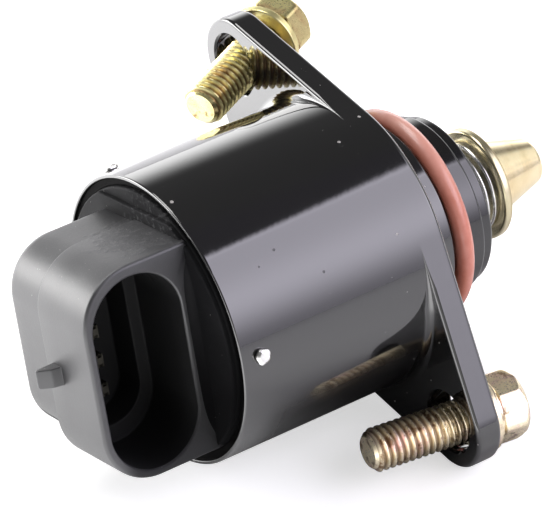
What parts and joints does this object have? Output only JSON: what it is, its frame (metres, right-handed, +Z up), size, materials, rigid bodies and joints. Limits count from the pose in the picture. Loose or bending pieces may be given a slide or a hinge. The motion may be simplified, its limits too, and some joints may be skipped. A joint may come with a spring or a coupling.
{
  "type": "idle air control valve",
  "caption": "Flanged stepper motor valve with a side facing four way connector, a sealed stepped nose and a spring loaded pintle; two loose screws lean in the flange holes.",
  "frame": {"origin": "on the valve axis at the flange's front, mounting face", "axes": "+X along the valve axis towards the pintle's tip, the connector mouth faces -Y, +Z up along the mouth's long side"},
  "size_m": [0.0673, 0.0444, 0.0444],
  "materials": {
    "black_paint": "gloss black paint",
    "grey_plastic": "satin moulded plastic with a fine grain",
    "dark_rubber": "matt rubber",
    "red_rubber": "satin terracotta rubber",
    "terminal": "plated blade",
    "dark_steel": "rounded steel pin",
    "spring_steel": "bright drawn wire",
    "pale_gold": "pale gold satin",
    "steel": "bare steel",
    "ferrite": "sintered magnet",
    "cream_plastic": "moulded plastic",
    "bearing_steel": "ground and polished",
    "cage_brass": "pressed brass",
    "bronze": "sintered bronze",
    "copper": "enamelled copper wire, wound",
    "yellow_zinc": "yellow passivated zinc",
    "washer_zinc": "pale passivated zinc",
    "guide_plastic": "moulded plastic"
  },
  "bodies": {
    "housing": {"housing": "black_paint", "connector_cap": "grey_plastic", "cap_seal_ring": "dark_rubber", "pilot_o_ring": "red_rubber", "terminal_1": "terminal", "terminal_2": "terminal", "terminal_3": "terminal", "terminal_4": "terminal", "cap_pin_1": "dark_steel", "cap_pin_2": "dark_steel", "cap_pin_3": "dark_steel", "pintle_spring": "spring_steel", "bearing_outer": "bearing_steel", "rear_bush": "bronze", "stator_cup_1": "steel", "stator_cup_2": "steel", "stator_cup_3": "steel", "stator_cup_4": "steel", "bobbin_rear": "cream_plastic", "bobbin_front": "cream_plastic", "winding_rear": "copper", "winding_front": "copper", "screw_front": "yellow_zinc", "screw_rear": "yellow_zinc", "washer_front": "washer_zinc", "washer_rear": "washer_zinc", "guide_insert": "guide_plastic"},
    "rotor": {"rotor_magnet": "ferrite", "rotor_nut": "cream_plastic", "bearing_inner": "bearing_steel"},
    "ball_cage": {"bearing_cage": "cage_brass", "bearing_balls": "bearing_steel"},
    "drive": {"pintle": "pale_gold", "lead_screw": "steel"}
  },
  "joints": [
    {"name": "rotor_spin", "type": "hinge", "parent": "housing", "child": "rotor", "pos_m": [0, 0, 0], "axis": [1, 0, 0], "range_deg": [-900, 1440]},
    {"name": "cage_spin", "type": "hinge", "parent": "housing", "child": "ball_cage", "pos_m": [0, 0, 0], "axis": [1, 0, 0], "range_deg": [-340, 540]},
    {"name": "pintle_slide", "type": "slide", "parent": "housing", "child": "drive", "axis": [1, 0, 0], "range_m": [-0.004, 0.0025], "deforming": ["pintle_spring"]}
  ],
  "couplings": [
    {"joint": "pintle_slide", "follows": "rotor_spin", "m_per_rad": -0.00015915},
    {"joint": "cage_spin", "follows": "rotor_spin", "ratio": 0.3675}
  ]
}
